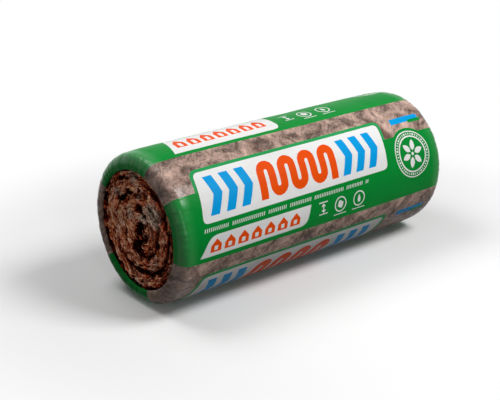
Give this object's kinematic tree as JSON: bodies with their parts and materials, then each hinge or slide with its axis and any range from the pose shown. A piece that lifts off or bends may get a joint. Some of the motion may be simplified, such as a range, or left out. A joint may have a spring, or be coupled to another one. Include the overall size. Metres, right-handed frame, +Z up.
{
  "type": "insulation roll",
  "caption": "Mineral-wool insulation blanket wound into a round roll and held compressed in a printed plastic film sleeve, whose shrunk ends leave the spiral of turns open.",
  "frame": {"origin": "on the floor under the middle of the roll, at the middle of its length", "axes": "+X along the roll's axis, away from the end that faces the viewer; +Y to the back; +Z up"},
  "size_m": [1.22, 0.5149, 0.5149],
  "materials": {
    "mineral_wool": "fibrous mineral wool, brown from its binder, laminated and torn at the ends",
    "film": "thin shrunk polyethylene film, green and white print with orange and blue marks, clear between the printed bands"
  },
  "bodies": {
    "root": {"wool_roll": "mineral_wool", "wrap_film": "film"}
  },
  "joints": []
}
